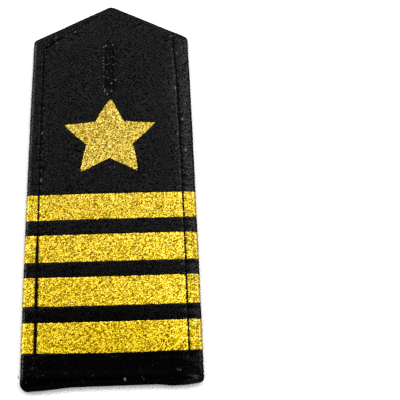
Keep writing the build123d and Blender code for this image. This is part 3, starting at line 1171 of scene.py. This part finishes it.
def plied_thread(centre, radius, twist, sides=6, plies=2, phase=0.0):
    """Verts and faces of a twisted thread along a line of points."""
    tangent = unit(np.gradient(centre, axis=0))
    side = unit(np.cross(tangent, np.array([0.0, 0.0, 1.0])))
    up = np.cross(side, tangent)
    single = plies == 1
    own = np.full(len(centre), radius * (1.0 if single else PLY_RADIUS))
    own[[0, -1]] *= THREAD_TAPER
    tubes = []
    for ply in range(plies):
        turn = 2 * math.pi * (lengths_along(centre) / twist + ply / plies) + phase
        off = radius * (0.0 if single else PLY_OFFSET)
        middle = centre + off * (np.cos(turn)[:, None] * side + np.sin(turn)[:, None] * up)
        tubes.append(tube(middle, tangent, side, up, own, sides))
    return joined(tubes)


def upper_stitch(number, pitch, slack, phase):
    """One stitch on top, thicker at the board's lower left and sunk where the seam barely shows."""
    points, _ = seam_line((number + np.linspace(0, 1, STITCH_POINTS)) * pitch)
    below = fall(points[:, 1] - stripe_ranges[1][1], *HEAVY_ALONG)
    heavy = (below * rise(-points[:, 0], *HEAVY_ACROSS)).mean()
    gap = HEAVY_GAP + (STITCH_GAP - HEAVY_GAP) * (1 - heavy)
    points, _ = seam_line((number + np.linspace(gap, 1 - gap, STITCH_POINTS)) * pitch)
    shown = seam_strength(*points.T).mean()
    radius = STITCH_RADIUS * (1 + HEAVY_GAIN * heavy) * (FAINT_RADIUS + (1 - FAINT_RADIUS) * shown)
    arch = np.sin(math.pi * np.linspace(*STITCH_ARCH, STITCH_POINTS)) ** STITCH_FLATNESS
    sunk = board_height(*points.T) - FAINT_SINK * (1 - shown)
    z = sunk + radius * (STITCH_RISE * arch - STITCH_DIP * (1 - arch)) + STITCH_SLACK * slack * arch
    z[[0, -1]] -= STITCH_END_DIP
    return plied_thread(np.column_stack([points, z]), radius, STITCH_TWIST, phase=phase)


def under_stitch(number, pitch, phase):
    """One stitch on the underside, half a stitch further on."""
    t = np.linspace(UNDER_STITCH_GAP, 1 - UNDER_STITCH_GAP, UNDER_STITCH_POINTS)
    points, _ = seam_line((number + 0.5 + t) * pitch)
    z = UNDER_STITCH_HEIGHT - STITCH_SLACK * np.sin(math.pi * t) ** UNDER_STITCH_FLATNESS
    return plied_thread(np.column_stack([points, z])[::-1], phase=phase, **UNDER_STITCH)


def seam_stitches(material):
    """The topstitching: one row of stitches on top and its plain row on the underside."""
    rng = np.random.default_rng(SEEDS["stitches"])
    pitch = SEAM.length / STITCH_COUNT
    threads = []
    for number in range(STITCH_COUNT):
        threads.append(upper_stitch(number, pitch, rng.uniform(0.0, 1.0), rng.uniform(*STITCH_PHASES)))
        threads.append(under_stitch(number, pitch, rng.uniform(*STITCH_PHASES)))
    return make_object("topstitching", *joined(threads), material)


def thread_ends(material):
    """Short loose thread ends on the left edge."""
    rng = np.random.default_rng(SEEDS["thread_ends"])
    t = np.linspace(0, 1, END_POINTS)
    threads = []
    for y in THREAD_ENDS:
        for strand in range(END_STRANDS):
            out = END_REACH * rng.uniform(END_LEAST, 1.0)
            lean = rng.uniform(-END_LEAN, END_LEAN)
            x = -half_width + END_ROOT - out * t
            z = END_HEIGHT + END_RISE * np.sin(END_CURL * t) + END_STEP[1] * strand
            centre = np.column_stack([x, y + lean * t ** 2 + END_STEP[0] * strand, z])
            threads.append(plied_thread(centre, **THREAD_END))
    return make_object("thread_ends", *joined(threads), material)


# Buttonhole


def hole_station(place):
    """A point of the slit's wall, its outward direction, and how far it is round an end, from 0 to 1."""
    inner = SLIT_WIDTH / 2
    side, rest = divmod(place, HOLE_HALF_LAP)
    sign = 1.0 if side < 1 else -1.0
    if rest < SLIT_STRAIGHT:
        return sign * np.array([inner, rest - SLIT_STRAIGHT / 2]), sign * np.array([1.0, 0.0]), 0.0
    turn = (rest - SLIT_STRAIGHT) / (inner + HOLE_LAP_OFFSET)
    out = np.array([math.cos(turn), math.sin(turn)])
    return sign * (np.array([0.0, SLIT_STRAIGHT / 2]) + inner * out), sign * out, math.sin(turn) ** 2


def hole_ring(station, reach, height, crown):
    """The worked edge's section at one station, with the relief of the thread that lies there."""
    foot, out, tip = station
    offset, z = HOLE_SECTION.T
    upper = z > field_top + HOLE_UPPER
    stretched = HOLE_STRETCH_FROM + (offset - HOLE_STRETCH_FROM) * (1 + HOLE_END_STRETCH * tip)
    offset = np.where(offset > HOLE_STRETCH_FROM, stretched, offset)
    offset = np.where(upper & (offset > HOLE_REACH_FROM), offset * reach, offset)
    ridge = SATIN_RELIEF * (crown - 1)
    z = np.where(upper, z + ridge + height * (z > field_top + HOLE_RAISED), z)
    lining = ~upper & (HOLE_SECTION[:, 0] < HOLE_LIP)
    offset = np.where(lining, offset - ridge * LINING_RELIEF, offset)
    knots = bell(HOLE_SECTION[:, 0], HOLE_LIP, HOLE_LIP) * (z > field_top) * HOLE_KNOT_HEIGHT * crown
    return np.column_stack([foot + out * offset[:, None] + hole_centre, z + knots])


def hole_glints(points, stations, threads, crowns):
    """Painted glints at the needle holes along the worked edge's left side, and a few more elsewhere."""
    rng = np.random.default_rng(SEEDS["hole_glints"])
    strength = rng.uniform(*HOLE_GLINT_STRENGTHS, threads.max() + 1)
    offset, z = HOLE_SECTION.T
    stray = rng.uniform(0, 1, (threads.max() + 1, len(z))) < HOLE_GLINT_SHARE
    rim = (offset > HOLE_RIM[0]) & (offset < HOLE_RIM[1]) & (z > field_top)
    glints = []
    for (_, out, _), thread, crown in zip(stations, threads, crowns):
        on_left = out[0] < HOLE_LEFT and thread % HOLE_GLINT_STEP == 0
        shown = np.where(rim & on_left, 1.0, HOLE_STRAY_GLINT_TONE * (stray[thread] & (z > field_top)))
        glints.append(shown * strength[thread] * rise(crown, *HOLE_GLINT_CROWN))
    marks = np.where(points[:, 2] > field_top, pale_marks(points[:, 0], points[:, 1], HOLE_GLINTS), 0.0)
    return np.maximum(np.concatenate(glints), marks)


def buttonhole_threads(material):
    """The buttonhole's worked edge, thread beside thread all round the slit."""
    rng = np.random.default_rng(SEEDS["hole_threads"])
    lap = 2 * HOLE_HALF_LAP
    count = int(round(lap / SATIN_PITCH))
    steps = np.arange(count * SATIN_STEPS)
    threads = steps // SATIN_STEPS
    stations = [hole_station(place) for place in steps / len(steps) * lap]
    crowns = np.abs(np.sin(math.pi * (steps + 0.5) / SATIN_STEPS))
    reach = 1 + rng.uniform(*SATIN_REACHES, count)
    height = rng.uniform(*SATIN_HEIGHTS, count)
    rings = [hole_ring(s, reach[k], height[k], c) for s, k, c in zip(stations, threads, crowns)]
    grid = np.arange(len(rings) * len(rings[0])).reshape(len(rings), -1)
    faces = band(grid, np.roll(grid, -1, axis=0)).tolist()
    points = np.concatenate(rings)
    piece = make_object("buttonhole_threads", points, faces, material)
    # painted glints on the worked edge's threads
    add_attribute(piece, "lint_and_highlight", hole_glints(points, stations, threads, crowns))
    return piece


# Materials


class Nodes:
    """A material's or the world's nodes, and short ways to feed them."""

    def __init__(self, owner, main_node, **settings):
        owner.use_nodes = True
        self.owner, self.tree = owner, owner.node_tree
        self.main_node = self.tree.nodes[main_node]
        self.feed(**settings)

    def give(self, socket, value):
        """Gives a socket a value or another node's output."""
        if isinstance(value, bpy.types.NodeSocket):
            self.tree.links.new(value, socket)
        else:
            socket.default_value = value

    def feed(self, node=None, **inputs):
        """Gives a node's inputs, or else the main node's, values or other nodes' outputs."""
        for name, value in inputs.items():
            self.give((node or self.main_node).inputs[name.replace("_", " ")], value)

    def node(self, kind, *values, settings=None, **inputs):
        """A node with its settings, its first inputs in order and others by name."""
        made = self.tree.nodes.new("ShaderNode" + kind)
        for key, value in (settings or {}).items():
            setattr(made, key, value)
        for socket, value in zip(made.inputs, values):
            self.give(socket, value)
        self.feed(made, **inputs)
        return made

    def math(self, operation, *values, clamp=False):
        """A calculation's output."""
        settings = {"operation": operation, "use_clamp": clamp}
        return self.node("Math", *values, settings=settings).outputs["Value"]

    def product(self, first, second):
        """Two outputs multiplied, kept between 0 and 1."""
        return self.math("MULTIPLY", first, second, clamp=True)

    def remap(self, value, low, high, to_low=0.0, to_high=1.0):
        """An output taken from one range to another."""
        return self.node("MapRange", value, low, high, to_low, to_high).outputs["Result"]

    def attribute(self, name):
        """A piece's own number at each point."""
        return self.node("Attribute", settings={"attribute_name": name}).outputs["Fac"]

    def place(self):
        """Each point's place in the frame, in metres."""
        return self.node("TexCoord").outputs["Object"]

    def noise(self, scale, detail, roughness=0.5):
        """Noise through the whole piece."""
        inputs = {"Scale": scale, "Detail": detail, "Roughness": roughness}
        return self.node("TexNoise", self.place(), **inputs).outputs["Fac"]

    def mixed(self, factor, first, second):
        """Two colours mixed, each a colour or an output."""
        made = self.node("Mix", factor, settings={"data_type": "RGBA"})
        colours = [socket for socket in made.inputs if socket.type == "RGBA"]
        for socket, value in zip(colours, (first, second)):
            self.give(socket, value)
        return next(socket for socket in made.outputs if socket.type == "RGBA")

    def with_lint_and_highlights(self, colour):
        """A colour with a piece's own pale marks over it: lint, painted glints and painted sheen."""
        return self.mixed(self.attribute("lint_and_highlight"), colour, LINT_AND_HIGHLIGHT_COLOUR)

    def bump(self, height, strength, distance):
        """A normal that follows a height, its distance in metres."""
        return self.node("Bump", Height=height, Strength=strength, Distance=distance).outputs["Normal"]


def surface(name, **settings):
    """The nodes of a new material."""
    return Nodes(bpy.data.materials.new(name), "Principled BSDF", **settings)


def twill_ribs(shader):
    """The twill's slanting ribs, which wander a little, as a wave between -1 and 1."""
    slant = shader.node("VectorMath", shader.place(), TWILL_TURNS, settings={"operation": "DOT_PRODUCT"})
    wander = shader.noise(TWILL_WANDER_SCALE, detail=1.0)
    return shader.math("SINE", shader.math("MULTIPLY_ADD", wander, TWILL_WANDER, slant.outputs["Value"]))


def black_cloth():
    """Fine black twill: nearly black yarn whose faint gloss varies from yarn to yarn."""
    shader = surface("black_cloth", Roughness=0.6, Specular_IOR_Level=0.0)
    shader.feed(Coat_Roughness=0.19, Coat_IOR=1.27)
    twill = twill_ribs(shader)
    gloss = shader.remap(shader.noise(YARN_SCALE, detail=2.0, roughness=0.8), *YARN_GLOSS)
    yarns = shader.product(gloss, shader.remap(twill, -1.0, 1.0, *TWILL_GLOSS))
    normal = shader.node("NewGeometry").outputs["Normal"]
    upright = shader.math("ABSOLUTE", shader.node("SeparateXYZ", normal).outputs["Z"])
    on_top = shader.product(yarns, shader.remap(upright, *WALL_LEVEL))
    dust = shader.remap(shader.noise(DUST_SCALE, detail=1.0), *DUST_RANGE)
    bump = shader.bump(twill, strength=1.0, distance=TWILL_HEIGHT)
    shader.feed(Base_Color=shader.with_lint_and_highlights(shader.mixed(dust, CLOTH_COLOUR, DUST_COLOUR)), Normal=bump,
                Coat_Weight=shader.product(on_top, shader.attribute("gloss")), Coat_Normal=bump)
    return shader.owner


def gold_weave(name, shades):
    """Gold lurex crepe: metallic floats in darker and paler golds, the palest under a glossy film, with
    shade painted into the gaps between floats and onto the flanks and duller stripes.
    """
    shader = surface(name, Roughness=0.5, Metallic=1.0, Coat_Roughness=0.14, Coat_IOR=1.65)
    shade = shader.attribute("shade")
    ramp = shader.node("ValToRGB", shade)
    stops = ramp.color_ramp.elements
    stops[0].color, stops[1].color = shades[0][1], shades[-1][1]
    for place, colour in shades[1:-1]:
        stops.new(place).color = colour
    # painted shade on the stripes' flanks and duller stripes, carried by the side attribute
    flank = shader.remap(shader.attribute("side"), 0.0, 1.0, 1.0, FLANK_SHADE_TONE)
    # painted shade in the gaps between the floats, together with the flanks' painted shade
    gap_and_flank_shade = shader.product(shader.remap(shader.attribute("relief"), *GAP_SHADE_RANGE), flank)
    dim = shader.node("VectorMath", ramp.outputs["Color"], settings={"operation": "SCALE"}, Scale=gap_and_flank_shade)
    film = shader.product(shader.remap(shade, *FILM_RANGE), flank)
    shader.feed(Base_Color=dim.outputs["Vector"], Coat_Weight=film)
    return shader.owner


def black_thread():
    """Black sewing thread, a little glossier than the cloth."""
    shader = surface("black_thread", Roughness=0.4, Specular_IOR_Level=0.035)
    fibres = shader.noise(FIBRE_SCALE, detail=2.0)
    bump = shader.bump(fibres, strength=0.5, distance=FIBRE_HEIGHT)
    shader.feed(Base_Color=shader.with_lint_and_highlights(THREAD_COLOUR), Normal=bump)
    return shader.owner


# Camera, light and floor


def add_aimed(name, data, place, target, roll=0.0):
    """Adds a camera or a light at a place, turned towards a target."""
    thing = bpy.data.objects.new(name, data)
    thing.location = place
    thing.rotation_mode = "QUATERNION"
    thing.rotation_quaternion = (target - place).to_track_quat("-Z", "Y") @ Quaternion((0, 0, 1), roll)
    bpy.context.scene.collection.objects.link(thing)
    return thing


def add_camera():
    """The photograph's view."""
    data = bpy.data.cameras.new("camera")
    data.lens = CAMERA_LENS
    data.clip_start = CAMERA_CLIP
    place, target = Vector(CAMERA_PLACE) * MM, Vector(CAMERA_TARGET) * MM
    bpy.context.scene.camera = add_aimed("camera", data, place, target, math.radians(CAMERA_ROLL))


def add_area(name, azimuth, elevation, distance, size, radiance):
    """A soft rectangular light that faces the board, by the radiance of its surface."""
    a, e = math.radians(azimuth), math.radians(elevation)
    place = Vector((math.cos(e) * math.sin(a), math.cos(e) * math.cos(a), math.sin(e))) * distance
    data = bpy.data.lights.new(name, "AREA")
    data.shape = "RECTANGLE"
    data.size, data.size_y = size
    data.energy = radiance * math.pi * size[0] * size[1]
    add_aimed(name, data, place, Vector())


def add_light():
    """Two soft boxes at the sides, a panel at each end, and a surround that is dim but looks white."""
    world = Nodes(bpy.data.worlds.new("world"), "Background", Color=(1, 1, 1, 1))
    seen = world.node("LightPath").outputs["Is Camera Ray"]
    world.feed(Strength=world.remap(seen, 0.0, 1.0, SURROUND, 1.0))
    bpy.context.scene.world = world.owner
    for row in LIGHTS:
        add_area(*row)


def set_picture():
    """Plain colours, and no denoising, which would smear the cloth's grain."""
    bpy.context.scene.cycles.use_denoising = False
    bpy.context.scene.view_settings.view_transform = "Standard"


def add_floor():
    """A plain white floor."""
    colour = (FLOOR_TONE, FLOOR_TONE, FLOOR_TONE, 1)
    shader = surface("floor_white", Roughness=0.9, Base_Color=colour, Specular_IOR_Level=0.1)
    side = FLOOR_SIDE
    corners = [(-side, -side, 0), (side, -side, 0), (side, side, 0), (-side, side, 0)]
    floor = make_object("floor", corners, [(0, 1, 2, 3)], shader.owner)


def add_piece(piece, slot, *nodes):
    """Puts a piece on the frame, in place of CAD nodes if any are named."""
    if nodes:
        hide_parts(*nodes)
    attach(piece, "root")


def main():
    add_camera()
    add_light()
    set_picture()
    add_floor()
    cloth = black_cloth()
    gold = gold_weave("gold_weave", STRIPE_SHADES)
    thread = black_thread()
    cover = board_cover(cloth)
    add_piece(cover, "black_cloth", "board")
    for number in range(1, len(STRIPES) + 1):
        add_piece(gold_stripe(number, gold), "gold_weave", f"stripe_{number}")
    add_piece(gold_star(gold_weave("gold_star", STAR_SHADES)), "gold_star", "star")
    add_piece(buttonhole_threads(thread), "black_thread", "buttonhole_stitching")
    add_piece(seam_stitches(thread), "black_thread")
    add_piece(thread_ends(thread), "black_thread")


main()
